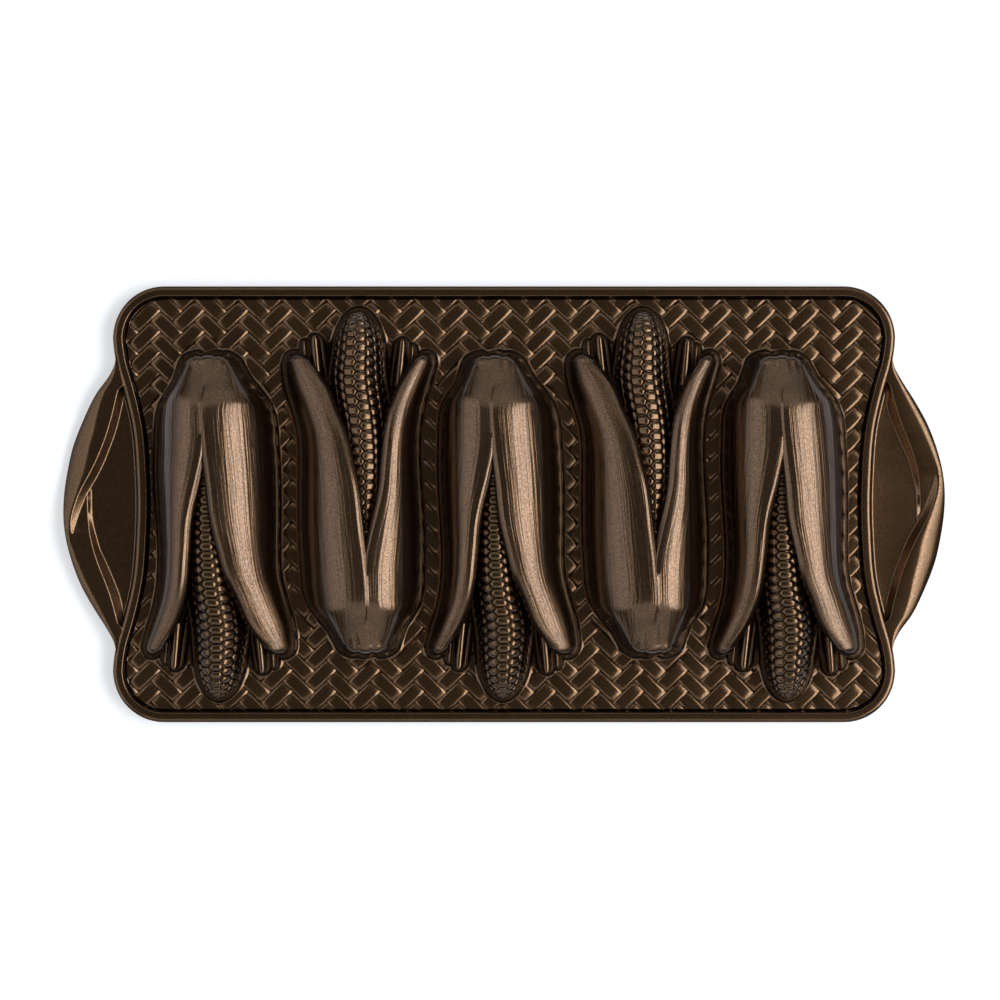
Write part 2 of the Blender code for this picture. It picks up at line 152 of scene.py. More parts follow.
# Steps inwards and upwards over the crown, and then over the underside, in millimetres
RIM_CROWN = (
    (0.06, 0.35), (0.20, 0.35), (0.45, 0.36), (0.55, 0.28), (0.50, 0.14), (0.60, 0.02), (1.20, 0.00),
    (0.45, -0.02), (0.30, -0.14), (0.20, -0.28), (0.22, -0.50), (0.26, -0.75), (0.28, -0.85), (0.20, -0.40),
    (0.15, -0.20), (0.15, -0.10), (0.35, -0.08), (0.40, -0.04), (0.12, -0.50),
)
RIM_FOOT = ((0.35, 0.35), (4.25, 0.0), (0.45, -0.45), (0.05, -2.40))
half_length = BODY_LENGTH / 2
half_width = BODY_WIDTH / 2
half_span = HANDLE_SPAN / 2


def smooth_value(points, share):
    """The value at this share on a smooth curve through (share, value) points, which may run either way."""
    ordered = sorted(points)
    share = min(max(share, ordered[0][0]), ordered[-1][0])
    slopes = [(b[1] - a[1]) / (b[0] - a[0]) for a, b in zip(ordered, ordered[1:])]
    slopes = [slopes[0]] + [(a + b) / 2 for a, b in zip(slopes, slopes[1:])] + [slopes[-1]]
    for i, (low, high) in enumerate(zip(ordered, ordered[1:])):
        if share <= high[0]:
            break
    width = high[0] - low[0]
    t = (share - low[0]) / width
    start = (1 + 2 * t) * (1 - t) ** 2 * low[1] + t * (1 - t) ** 2 * width * slopes[i]
    end = t**2 * (3 - 2 * t) * high[1] + t**2 * (t - 1) * width * slopes[i + 1]
    return start + end


def bow_at(y):
    """How far the body's end lies inside its corners at this place across the pan."""
    return RIM_BOW * smooth_value(BOW_SHARES, abs(y) / half_span)


def pick(shape, test, kind="faces"):
    """Selects only the faces, edges or vertices that pass the test."""
    shape.select_mode = {{"verts": "VERT", "edges": "EDGE", "faces": "FACE"}[kind]}
    for items in (shape.faces, shape.edges, shape.verts):
        for item in items:
            item.select_set(False)
    for item in getattr(shape, kind):
        if test(item):
            item.select_set(True)
    shape.select_flush_mode()


def body_outline(inset):
    """The body's outline as seen from above, this far inside the rim's outer edge, counter-clockwise."""
    radius = CORNER_RADIUS - inset
    middle_x = half_length - CORNER_RADIUS
    middle_y = half_width - CORNER_RADIUS
    right_end = [-middle_y + 2 * middle_y * i / SIDE_STEPS for i in range(SIDE_STEPS + 1)]
    points = [(half_length - inset - bow_at(y), y) for y in right_end]
    corner = [math.pi / 2 * i / CORNER_STEPS for i in range(1, CORNER_STEPS + 1)]
    points += [(middle_x + radius * math.cos(a), middle_y + radius * math.sin(a)) for a in corner]
    run = [middle_x - 2 * middle_x * i / END_STEPS for i in range(1, END_STEPS)]
    points += [(x, half_width - inset) for x in run]
    far_corner = [0.0] + corner[:-1]
    points += [(-middle_x - radius * math.sin(a), middle_y + radius * math.cos(a)) for a in far_corner]
    return points + [(-x, -y) for x, y in points]


def laid_face(name, points):
    """A filled face laid on these points, left open in edit mode and selected."""
    bpy.ops.object.select_all(action="DESELECT")
    bpy.ops.mesh.primitive_circle_add(vertices=len(points), fill_type="NGON")
    face = bpy.context.object
    face.name = name
    face.data.name = name
    for vert, point in zip(face.data.vertices, points):
        vert.co = point
    bpy.ops.object.mode_set(mode="EDIT")
    bpy.ops.mesh.select_all(action="SELECT")
    return face


def close_form():
    """Turns the faces of the form in edit mode outwards, and leaves edit mode."""
    bpy.ops.mesh.select_all(action="SELECT")
    bpy.ops.mesh.normals_make_consistent(inside=False)
    bpy.ops.object.mode_set(mode="OBJECT")


rim = laid_face("rim_bead", [(x, y, RIM_BASE) for x, y in body_outline(0.0)])
bpy.ops.mesh.extrude_region_move(TRANSFORM_OT_translate={"value": (0.0, 0.0, RIM_WALL)})
for run, rise in RIM_CROWN:
    bpy.ops.mesh.inset(thickness=run / 1000, depth=rise / 1000)
bpy.ops.mesh.delete(type="ONLY_FACE")
shape = bmesh.from_edit_mesh(rim.data)
pick(shape, lambda face: len(face.verts) > 4)
for run, rise in RIM_FOOT:
    bpy.ops.mesh.inset(thickness=run / 1000, depth=rise / 1000)
bpy.ops.mesh.delete(type="ONLY_FACE")
shape = bmesh.from_edit_mesh(rim.data)
pick(shape, lambda edge: edge.is_boundary, "edges")
bpy.ops.mesh.bridge_edge_loops()
close_form()


# Bronze finish
# The casting is coated in a metallic bronze under a thin clear gloss. Its colour is darkened where it is seen
# at a
# slant: partly the flop of its flat-lying flakes, mostly painted shade that makes the steep walls look black.
# Along the husk leaves runs a faint drawn grain that follows each leaf.
BRONZE = (0.225, 0.122, 0.055, 1.0)
BRONZE_ROUGHNESS = 0.22
METAL_SHARE = 0.96
GLOSS_WEIGHT = 0.55
GLOSS_ROUGHNESS = 0.10
# Colour of the painted shade: the bronze darkens towards it where it is seen at a slant, so steep walls look
# black
SLANT_PAINTED_SHADE = (0.050, 0.026, 0.012, 1.0)
# How far the surface turns away (0 faces the eye) where the painted shade starts and where it is at its
# darkest
PAINTED_SHADE_TURN = (0.11, 0.36)
FLAKE_SCALE = 1700.0
FLAKE_RANGE = (0.32, 0.68)
FLAKE_CONTRAST = 0.55
FLAKE_RELIEF = 0.00002
CLOUD_SCALE = 45.0
CLOUD_ROUGHNESS = (-0.05, 0.06)
# Lines of the grain per metre across a leaf and along it
GRAIN_LINES = (950.0, 22.0, 1.0)
GRAIN_RELIEF = 0.00042


def bronze_finish(name, colour, grain=None):
    """Metallic coating with fine flakes, darkened towards a painted shade where it is seen at a slant. Grain
    is the UV map that a leaf's drawn lines follow.
    """
    finish = bpy.data.materials.new(name)
    finish.use_nodes = True
    nodes = finish.node_tree.nodes
    links = finish.node_tree.links
    shader = with_values(nodes["Principled BSDF"], Metallic=METAL_SHARE, Coat_Weight=GLOSS_WEIGHT,
                         Coat_Roughness=GLOSS_ROUGHNESS, Coat_IOR=1.5)
    place = nodes.new("ShaderNodeTexCoord")
    flakes = with_values(nodes.new("ShaderNodeTexNoise"), Scale=FLAKE_SCALE, Detail=3.0, Roughness=0.7)
    links.new(place.outputs["Object"], flakes.inputs["Vector"])
    shades = nodes.new("ShaderNodeValToRGB")
    for element, position, share in zip(
            shades.color_ramp.elements, FLAKE_RANGE, (1 - FLAKE_CONTRAST, 1 + FLAKE_CONTRAST)):
        element.position = position
        element.color = (colour[0] * share, colour[1] * share, colour[2] * share, 1.0)
    links.new(flakes.outputs["Fac"], shades.inputs["Fac"])
    # Painted shade: where the surface is seen at a slant, the base colour is mixed towards the dark shade
    # colour
    slant = with_values(nodes.new("ShaderNodeLayerWeight"), Blend=0.5)
    painted_shade_share = nodes.new("ShaderNodeMapRange")
    painted_shade_share.interpolation_type = "SMOOTHSTEP"
    with_values(painted_shade_share, From_Min=PAINTED_SHADE_TURN[0], From_Max=PAINTED_SHADE_TURN[1])
    links.new(slant.outputs["Facing"], painted_shade_share.inputs["Value"])
    painted_shade_mix = nodes.new("ShaderNodeMix")
    painted_shade_mix.data_type = "RGBA"
    with_values(painted_shade_mix, B=SLANT_PAINTED_SHADE)
    links.new(painted_shade_share.outputs["Result"], painted_shade_mix.inputs["Factor"])
    links.new(shades.outputs["Color"], painted_shade_mix.inputs["A"])
    links.new(painted_shade_mix.outputs["Result"], shader.inputs["Base Color"])
    clouds = with_values(nodes.new("ShaderNodeTexNoise"), Scale=CLOUD_SCALE, Detail=4.0)
    links.new(place.outputs["Object"], clouds.inputs["Vector"])
    wear = with_values(nodes.new("ShaderNodeMapRange"), To_Min=BRONZE_ROUGHNESS + CLOUD_ROUGHNESS[0],
                       To_Max=BRONZE_ROUGHNESS + CLOUD_ROUGHNESS[1])
    links.new(clouds.outputs["Fac"], wear.inputs["Value"])
    links.new(wear.outputs["Result"], shader.inputs["Roughness"])
    speckle = with_values(nodes.new("ShaderNodeBump"), Strength=0.8, Distance=FLAKE_RELIEF)
    links.new(flakes.outputs["Fac"], speckle.inputs["Height"])
    links.new(speckle.outputs["Normal"], shader.inputs["Normal"])
    if grain:
        lines = nodes.new("ShaderNodeUVMap")
        lines.uv_map = grain
        stretch = with_values(nodes.new("ShaderNodeMapping"), Scale=GRAIN_LINES)
        links.new(lines.outputs["UV"], stretch.inputs["Vector"])
        streaks = with_values(nodes.new("ShaderNodeTexNoise"), Scale=1.0, Detail=2.0)
        links.new(stretch.outputs["Vector"], streaks.inputs["Vector"])
        drawn = with_values(nodes.new("ShaderNodeBump"), Strength=0.7, Distance=GRAIN_RELIEF)
        links.new(streaks.outputs["Fac"], drawn.inputs["Height"])
        links.new(drawn.outputs["Normal"], speckle.inputs["Normal"])
    return finish


def coat(piece, finish, sharp=35.0):
    """Gives the piece its finish and shades it smooth but for its crisp edges."""
    piece.data.materials.clear()
    piece.data.materials.append(finish)
    bpy.ops.object.select_all(action="DESELECT")
    piece.select_set(True)
    bpy.context.view_layer.objects.active = piece
    bpy.ops.object.shade_smooth_by_angle(angle=math.radians(sharp))


bronze = bronze_finish("bronze_coating_detail", BRONZE)
coat(rim, bronze)
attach(rim, "root")
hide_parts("rim")


# Husks
# Five ears lie side by side, every second one end for end. Each husk is a shell with the same wall all over,
# cast in one with the deck: two leaves part over the cob and close over the stalk, and two shallow grooves
# part the stalk's blunt end.
HUSK_BRONZE = (0.228, 0.131, 0.070, 1.0)
MOULD_COUNT = 5
MOULD_HEIGHT = 0.02685
MOULD_SHIFT = 0.0083
MOULD_OFFSET_X = -0.0010
TIP_MARGIN = 0.00435
SIDE_MARGIN = 0.0043
MOULD_GAP = 0.0075
WAIST_SHARE = 0.8
WALL = 0.0030
LEAF_BEVEL = 0.0028
LEAF_BEVEL_SHARE = 0.3
LEAF_LIP_SHARE = 0.9
FOOT_DEPTH = 0.002
TIP_SWAY_SHARE = 0.5
# The moulds' mouths lie at this height. Forms reach below it, and a block cuts them off level.
SEAT_HEIGHT = 0.0021
FORM_LOW = -0.006
HOLLOW_LOW = -0.012
CUTTING_BLOCK = (0.09, 0.2, 0.03)
ARC_STEPS = 18
RING_STEPS = 42
TIP_STEPS = 9
# Across a leaf's inner edge, from its wall to the crest: (share of the bevel's width, share of its drop)
BEVEL_SHARES = (
    (0.0, 1.0), (0.03, 0.84), (0.10, 0.70), (0.20, 0.58), (0.32, 0.46), (0.60, 0.22), (0.85, 0.06),
)
# Stations in shares of the mould's half length, half width and height; the cob's tip points to -Y.
# Leaves: (along, outer edge, inner edge, top)
LEFT_LEAF = (
    (0.88, -0.455, -0.07, 0.60),
    (0.80, -0.56, -0.07, 0.72),
    (0.66, -0.755, -0.05, 0.93),
    (0.43, -0.80, -0.05, 0.965),
    (0.25, -0.80, -0.13, 0.94),
    (0.02, -0.77, -0.25, 0.87),
    (-0.16, -0.75, -0.29, 0.80),
    (-0.33, -0.765, -0.33, 0.71),
    (-0.45, -0.81, -0.385, 0.62),
    (-0.58, -0.90, -0.505, 0.50),
    (-0.68, -0.965, -0.66, 0.41),
)
RIGHT_LEAF = (
    (0.88, 0.285, -0.09, 0.60),
    (0.80, 0.43, -0.15, 0.735),
    (0.66, 0.67, -0.185, 0.955),
    (0.43, 0.75, -0.15, 0.995),
    (0.25, 0.77, -0.10, 0.985),
    (0.02, 0.775, -0.04, 0.925),
    (-0.16, 0.77, 0.055, 0.845),
    (-0.30, 0.79, 0.135, 0.76),
    (-0.42, 0.86, 0.25, 0.66),
    (-0.58, 0.965, 0.405, 0.52),
    (-0.68, 0.99, 0.60, 0.42),
)
LEAF_TIP = 0.075
# Rounded forms: (along, middle, half width, top)
COB = (
    (0.36, -0.10, 0.10, 0.74),
    (0.15, -0.10, 0.24, 0.78),
    (-0.10, -0.09, 0.33, 0.77),
    (-0.35, -0.05, 0.36, 0.74),
    (-0.60, 0.03, 0.365, 0.68),
    (-0.76, 0.02, 0.33, 0.60),
)
COB_TIP = 0.235
STALK = (
    (0.54, -0.05, 0.62, 0.70),
    (0.64, -0.05, 0.60, 0.86),
    (0.70, -0.055, 0.57, 0.87),
    (0.78, -0.07, 0.515, 0.77),
    (0.83, -0.08, 0.465, 0.71),
    (0.89, -0.095, 0.405, 0.65),
)
STALK_TIP = 0.075
STALK_SQUARENESS = 2.15
STALK_STEPS = 46
# How its rounded end narrows and falls: powers of the tip's own shrinking
STALK_END_WIDTH = 0.65
STALK_END_HEIGHT = 0.75
# The two grooves' places across, in millimetres. They begin and are deepest at these shares along the mould.
STALK_GROOVES = (-6.4, 0.6)
GROOVES_FROM = 0.76
GROOVES_FULL = 0.9
GROOVE_WIDTH = 0.0011
GROOVE_DEPTH = 0.0007
GROOVE_NOTCH = 0.0016
# Towards the stalk the leaves' sections get squarer, over this run along the mould
NECK_FROM = 0.62
NECK_RUN = 0.24
NECK_SQUARENESS = 1.0
HOLLOW = (
    (0.86, -0.05, 0.22, 0.36),
    (0.72, -0.05, 0.52, 0.66),
    (0.48, -0.03, 0.67, 0.78),
    (0.28, -0.02, 0.68, 0.75),
    (0.14, -0.01, 0.68, 0.65),
    (-0.16, 0.00, 0.64, 0.60),
    (-0.34, 0.02, 0.46, 0.50),
)
HOLLOW_TIP = 0.06
mould_half_length = (BODY_WIDTH - 2 * (RIM_WIDTH + TIP_MARGIN + MOULD_SHIFT)) / 2
row_length = BODY_LENGTH - 2 * (RIM_WIDTH + RIM_BOW + SIDE_MARGIN)
mould_waist = (row_length - (MOULD_COUNT - 1) * MOULD_GAP) / MOULD_COUNT
mould_pitch = mould_waist + MOULD_GAP
mould_half_width = mould_waist / WAIST_SHARE / 2


def station_at(stations, along):
    """The form's values at this place along it, on smooth curves through its stations."""
    return [smooth_value([(s[0], s[k]) for s in stations], along) for k in range(1, len(stations[0]))]


def sections_of(stations, tip, ring_steps, tip_steps):
    """Sections along a form with its rounded end: (along, first value, second value, top, shrink)."""
    first, last, before = stations[0][0], stations[-1], stations[-2]
    sections = []
    for i in range(ring_steps + 1):
        along = first + (last[0] - first) * i / ring_steps
        sections.append((along, *station_at(stations, along), 1.0))
    heading = math.copysign(1.0, last[0] - before[0])
    for i in range(1, tip_steps + 1):
        angle = math.pi / 2 * i / (tip_steps + 0.5)
        past = tip * math.sin(angle)
        sway = past / abs(last[0] - before[0]) * TIP_SWAY_SHARE
        first_value = last[1] + (last[1] - before[1]) * sway
        second_value = last[2] + (last[2] - before[2]) * sway
        sections.append((last[0] + heading * past, first_value, second_value, last[3], math.cos(angle)))
    return sections


def leaf_section(section, inset, low):
    """Across a leaf: up its inner wall, over the bevelled lip to the crest, down a quarter ellipse."""
    along, outer, inner, top, shrink = section
    y = along * mould_half_length
    side = math.copysign(1.0, outer)
    outer = outer * mould_half_width - side * inset
    inner = inner * mould_half_width + side * inset
    middle = (outer + inner) / 2
    outer = middle + (outer - middle) * shrink
    inner = middle + (inner - middle) * shrink
    top = DECK_TOP + (top * MOULD_HEIGHT - inset) * shrink
    bevel = min(LEAF_BEVEL, abs(outer - inner) * LEAF_BEVEL_SHARE)
    crest = inner + side * bevel
    foot = min(DECK_TOP, top - bevel) - FOOT_DEPTH
    points = [(inner, y, low)]
    for across, drop in BEVEL_SHARES:
        points.append((inner + side * bevel * across, y, max(top - bevel * LEAF_LIP_SHARE * drop, foot)))
    power = 2 / (2 + NECK_SQUARENESS * min(max((along - NECK_FROM) / NECK_RUN, 0.0), 1.0))
    for i in range(ARC_STEPS + 1):
        angle = math.pi / 2 * i / ARC_STEPS
        run, rise = math.sin(angle) ** power, max(math.cos(angle), 0.0) ** power
        points.append((crest + (outer - crest) * run, y, foot + (top - foot) * rise))
    points.append((outer, y, low))
    return points


def dome_section(section, inset, low):
    """Across a rounded form: upright sides under half an ellipse."""
    along, middle, half, top, shrink = section
    y = along * mould_half_length
    middle *= mould_half_width
    half = (half * mould_half_width - inset) * shrink
    top = DECK_TOP + (top * MOULD_HEIGHT - inset) * shrink
    foot = DECK_TOP - FOOT_DEPTH
    points = [(middle - half, y, low)]
    for i in range(ARC_STEPS + 1):
        angle = math.pi * i / ARC_STEPS
        points.append((middle - half * math.cos(angle), y, foot + (top - foot) * math.sin(angle)))
    points.append((middle + half, y, low))
    return points


def stalk_section(section, inset, low):
    """Across the stalk: a broad arch, parted by two shallow grooves that deepen towards its blunt end."""
    along, middle, half, top, shrink = section
    middle *= mould_half_width
    half *= mould_half_width * shrink**STALK_END_WIDTH
    foot = DECK_TOP - FOOT_DEPTH
    high = DECK_TOP + top * MOULD_HEIGHT * shrink**STALK_END_HEIGHT - foot
    deep = min(max((along - GROOVES_FROM) / (GROOVES_FULL - GROOVES_FROM), 0.0), 1.0)
    power = 2 / STALK_SQUARENESS
    arch = []
    for i in range(STALK_STEPS + 1):
        angle = math.pi * i / STALK_STEPS
        x = middle - half * math.copysign(abs(math.cos(angle)) ** power, math.cos(angle))
        groove = sum(math.exp(-(((x - place / 1000) / GROOVE_WIDTH) ** 2)) for place in STALK_GROOVES)
        y = along * mould_half_length - GROOVE_NOTCH * groove * (1 - shrink)
        crown = max(high - GROOVE_DEPTH * groove * deep, 0.0)
        arch.append((x, y, foot + crown * math.sin(angle) ** power))
    return [(*arch[0][:2], low)] + arch + [(*arch[-1][:2], low)]


def drawn_out(name, rings):
    """A solid drawn out from a filled first section through all the others, with its grain laid along it."""
    form = laid_face(name, rings[0])
    shape = bmesh.from_edit_mesh(form.data)
    order = {vert: k for k, vert in enumerate(shape.verts)}
    where = {vert: (0, k) for vert, k in order.items()}
    for step, ring in enumerate(rings[1:], 1):
        bpy.ops.mesh.extrude_region_move()
        moved = [vert for vert in shape.verts if vert.select]
        kept = {}
        for vert in moved:
            behind = next(e.other_vert(vert) for e in vert.link_edges if not e.other_vert(vert).select)
            kept[vert] = order[behind]
        for vert, k in kept.items():
            vert.co = ring[k]
            where[vert] = (step, k)
        order = kept
    across = [0.0]
    for a, b in zip(rings[len(rings) // 2], rings[len(rings) // 2][1:]):
        across.append(across[-1] + (Vector(a) - Vector(b)).length)
    grain = shape.loops.layers.uv.get("UVMap") or shape.loops.layers.uv.new("UVMap")
    for face in shape.faces:
        for corner in face.loops:
            step, k = where[corner.vert]
            corner[grain].uv = (across[k], rings[step][k][1])
    bmesh.update_edit_mesh(form.data)
    close_form()
    return form


def take_away(*forms):
    """Deletes forms that only helped to make others."""
    for form in forms:
        bpy.data.objects.remove(form, do_unlink=True)


def combine(piece, operation, others, keep=False):
    """Joins other solids to the piece, or cuts them from it, and takes them away unless they are kept."""
    bpy.context.view_layer.objects.active = piece
    for other in others:
        change = piece.modifiers.new("join or cut", "BOOLEAN")
        change.operation = operation
        change.solver = "EXACT"
        change.object = other
        bpy.ops.object.modifier_apply(modifier=change.name)
        if not keep:
            take_away(other)


def drawn_form(name, section, stations, tip, inset=0.0, low=FORM_LOW, steps=RING_STEPS, tips=TIP_STEPS):
    """The solid form through these stations, this far inside its real surface, down to this height."""
    shorter = max(tip - inset / mould_half_length, 0.01)
    rings = [section(s, inset, low) for s in sections_of(stations, shorter, steps, tips)]
    return drawn_out(name, rings)


def mould_place(index):
    """Where this mould lies. Every second one is turned end for end."""
    across = (index - (MOULD_COUNT - 1) / 2) * mould_pitch + MOULD_OFFSET_X
    turned = index % 2 == 1
    shift = MOULD_SHIFT if turned else -MOULD_SHIFT
    return Matrix.Translation((across, shift, 0.0)) @ Matrix.Rotation(math.pi * turned, 4, "Z")


def copy_at(first, name, where):
    """A copy of the form at this place."""
    piece = bpy.data.objects.new(name, first.data.copy())
    bpy.context.scene.collection.objects.link(piece)
    piece.data.transform(where)
    return piece


def place_copy(first, name, node, where):
    """Lays a copy of the finished form at its place in the casting, where the CAD's section is."""
    piece = copy_at(first, name, where)
    piece.data.name = piece.name
    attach(piece, "root")
    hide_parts(node)


def place_in_moulds(first, name, finish, node, sharp=35.0, moulds=range(MOULD_COUNT)):
    """Copies the finished form into each of these moulds, and takes the first one away."""
    coat(first, finish, sharp)
    for index in moulds:
        place_copy(first, f"{name}_{index + 1}", f"{node}_{index + 1}", mould_place(index))
    take_away(first)


hollow = drawn_form("core", dome_section, HOLLOW, HOLLOW_TIP, 0.0, HOLLOW_LOW, steps=20, tips=5)
combine(hollow, "UNION", [
    drawn_form("left hollow", leaf_section, LEFT_LEAF, LEAF_TIP, WALL, HOLLOW_LOW, steps=30, tips=6),
    drawn_form("right hollow", leaf_section, RIGHT_LEAF, LEAF_TIP, WALL, HOLLOW_LOW, steps=30, tips=6),
    drawn_form("cob hollow", dome_section, COB, COB_TIP, WALL, HOLLOW_LOW, steps=30, tips=8),
])
bpy.ops.object.select_all(action="DESELECT")
bpy.ops.mesh.primitive_cube_add(size=1.0, location=(0.0, 0.0, SEAT_HEIGHT - CUTTING_BLOCK[2] / 2))
below = bpy.context.object
below.name = "below"
below.scale = CUTTING_BLOCK
bpy.ops.object.transform_apply(location=True, rotation=True, scale=True)

husk = drawn_form("left leaf", leaf_section, LEFT_LEAF, LEAF_TIP)
combine(husk, "UNION", [drawn_form("right leaf", leaf_section, RIGHT_LEAF, LEAF_TIP)])
combine(husk, "UNION", [drawn_form("stalk", stalk_section, STALK, STALK_TIP, steps=20, tips=10)])
combine(husk, "DIFFERENCE", [hollow, below], keep=True)
husk_bronze = bronze_finish("husk_bronze", HUSK_BRONZE, "UVMap")
place_in_moulds(husk, "husk_shell", husk_bronze, "husk")


# Cobs
# Each cob shows between its husk leaves as rows of kernels on a rounded core, cast in one with the husk. A
# kernel is a crowned six-sided pad that follows the cob. Neighbouring rows stand half a kernel apart, and all
# grow smaller towards the tip.
KERNEL_GAP = 0.00014
KERNEL_SINK = 0.0006
# A kernel is cut lengthwise at these shares of its width, so that it can bend round the cob
KERNEL_CUTS = (-0.2, 0.2)
CORE_INSET = 0.00115
COB_START = 0.34
COB_ANGLES = 48
COB_SHARES = 60
COB_STATIONS = 90
COB_TIP_ANGLES = 30
COB_TIP_TURN = 86.0
# Towards the tip the kernels get shorter: least share of their length, and what the cob's breadth adds to it
ROW_LENGTHS = (0.45, 0.65)
SMALLEST_ROW = 0.28
# No kernel stands nearer than this to the cob's foot, as a share of the way round
FOOT_SHARE = 0.015
# A fading kernel keeps this share of its height at least. It sinks towards the core by shares of CORE_INSET:
# one that it always keeps, and one that fades with it.
LEAST_RISE = 0.12
SINK_SHARES = (0.15, 0.75)
PROBE = 0.0006
# Rows of kernels on the ears that point to -Y and on the turned ones: (distance apart, a kernel's length,
# width of its flat sides as a share of its own, how broad the cob is where the kernels start and end fading
# towards the tip, places from the middle)
KERNEL_ROWS = (
    (0.0070, 0.0041, 0.52, (0.90, -0.60), (-3, -2, -1, 0, 1, 2, 3)),
    (0.0061, 0.0044, 0.62, (0.90, 0.30), (-3.4, -2.4, -1.4, -0.4, 0.6, 1.6, 2.6, 3.6)),
)
# Over a kernel's edge: steps inwards and upwards, in millimetres
KERNEL_CROWN = ((0.04, 0.26), (0.12, 0.22), (0.24, 0.22), (0.38, 0.20), (0.48, 0.15), (0.38, 0.05))


def round_cob(along, past):
    """Points round the cob at this place, in even steps from its left to its right, and the way round."""
    middle, half, top = station_at(COB, along)
    shrink = math.sqrt(1 - past**2)
    sway = past * COB_TIP / (COB[-2][0] - COB[-1][0]) * TIP_SWAY_SHARE
    middle += (COB[-1][1] - COB[-2][1]) * sway
    half += (COB[-1][2] - COB[-2][2]) * sway
    foot = DECK_TOP - FOOT_DEPTH
    high = DECK_TOP + top * MOULD_HEIGHT * shrink - foot
    y = (along - past * COB_TIP) * mould_half_length
    arch = []
    for i in range(COB_ANGLES + 1):
        angle = math.pi * i / COB_ANGLES
        x = (middle - half * shrink * math.cos(angle)) * mould_half_width
        arch.append(Vector((x, y, foot + high * math.sin(angle))))
    way = [0.0]
    for a, b in zip(arch, arch[1:]):
        way.append(way[-1] + (b - a).length)
    points, i = [], 0
    for k in range(COB_SHARES + 1):
        target = way[-1] * k / COB_SHARES
        while i < COB_ANGLES - 1 and way[i + 1] < target:
            i += 1
        points.append(arch[i].lerp(arch[i + 1], (target - way[i]) / (way[i + 1] - way[i])))
    return points, way[-1]


tip_turn = math.radians(COB_TIP_TURN)
stations = [(COB_START + (COB[-1][0] - COB_START) * i / COB_STATIONS, 0.0) for i in range(COB_STATIONS)]
stations += [(COB[-1][0], math.sin(tip_turn * i / COB_TIP_ANGLES)) for i in range(COB_TIP_ANGLES + 1)]
cob_rounds = [round_cob(*station) for station in stations]
cob_widest = max(way for points, way in cob_rounds)
cob_crown = [points[COB_SHARES // 2] for points, way in cob_rounds]
cob_travel = [0.0]
for here, after in zip(cob_crown, cob_crown[1:]):
    cob_travel.append(cob_travel[-1] + (after - here).length)
cob_broadest = cob_travel[[way for points, way in cob_rounds].index(cob_widest)]


def cob_place(travel, columns):
    """The point on the cob this far along its crown and this far across it, the way round the cob there, and
    the point's share of that way."""
    travel = min(max(travel, 0.0), cob_travel[-1] - 1e-6)
    i = next(k for k, reached in enumerate(cob_travel[1:]) if travel < reached)
    t = (travel - cob_travel[i]) / (cob_travel[i + 1] - cob_travel[i])
    way = cob_rounds[i][1] + (cob_rounds[i + 1][1] - cob_rounds[i][1]) * t
    share = 0.5 + columns / (way if travel < cob_broadest else cob_widest)
    spot = min(max(share, 0.0), 0.9999) * COB_SHARES
    k, s = int(spot), spot - int(spot)
    near = cob_rounds[i][0][k].lerp(cob_rounds[i][0][k + 1], s)
    far = cob_rounds[i + 1][0][k].lerp(cob_rounds[i + 1][0][k + 1], s)
    return near.lerp(far, t), way, share


def one_kernel(apart, length, flat):
    """A six-sided pad with a crowned top, laid flat at its full size."""
    wide = 2 * apart / (1 + flat) - KERNEL_GAP
    bpy.ops.object.select_all(action="DESELECT")
    bpy.ops.mesh.primitive_cylinder_add(
        vertices=6, radius=1.0, depth=KERNEL_SINK, rotation=(0.0, 0.0, math.pi / 6))
    kernel = bpy.context.object
    bpy.ops.object.transform_apply(location=True, rotation=True, scale=True)
    for vert in kernel.data.vertices:
        corner = abs(vert.co.y) > 0.2
        vert.co.x = math.copysign(wide * flat / 2 if corner else wide / 2, vert.co.x)
        vert.co.y = math.copysign((length - KERNEL_GAP) / 2, vert.co.y) if corner else 0.0
    bpy.ops.object.mode_set(mode="EDIT")
    shape = bmesh.from_edit_mesh(kernel.data)
    pick(shape, lambda face: face.normal.z > 0.9)
    for run, rise in KERNEL_CROWN:
        bpy.ops.mesh.inset(thickness=run / 1000, depth=rise / 1000)
    for cut in KERNEL_CUTS:
        bpy.ops.mesh.select_all(action="SELECT")
        bpy.ops.mesh.bisect(plane_co=(wide * cut, 0.0, 0.0), plane_no=(1.0, 0.0, 0.0))
    bpy.ops.object.mode_set(mode="OBJECT")
    return kernel


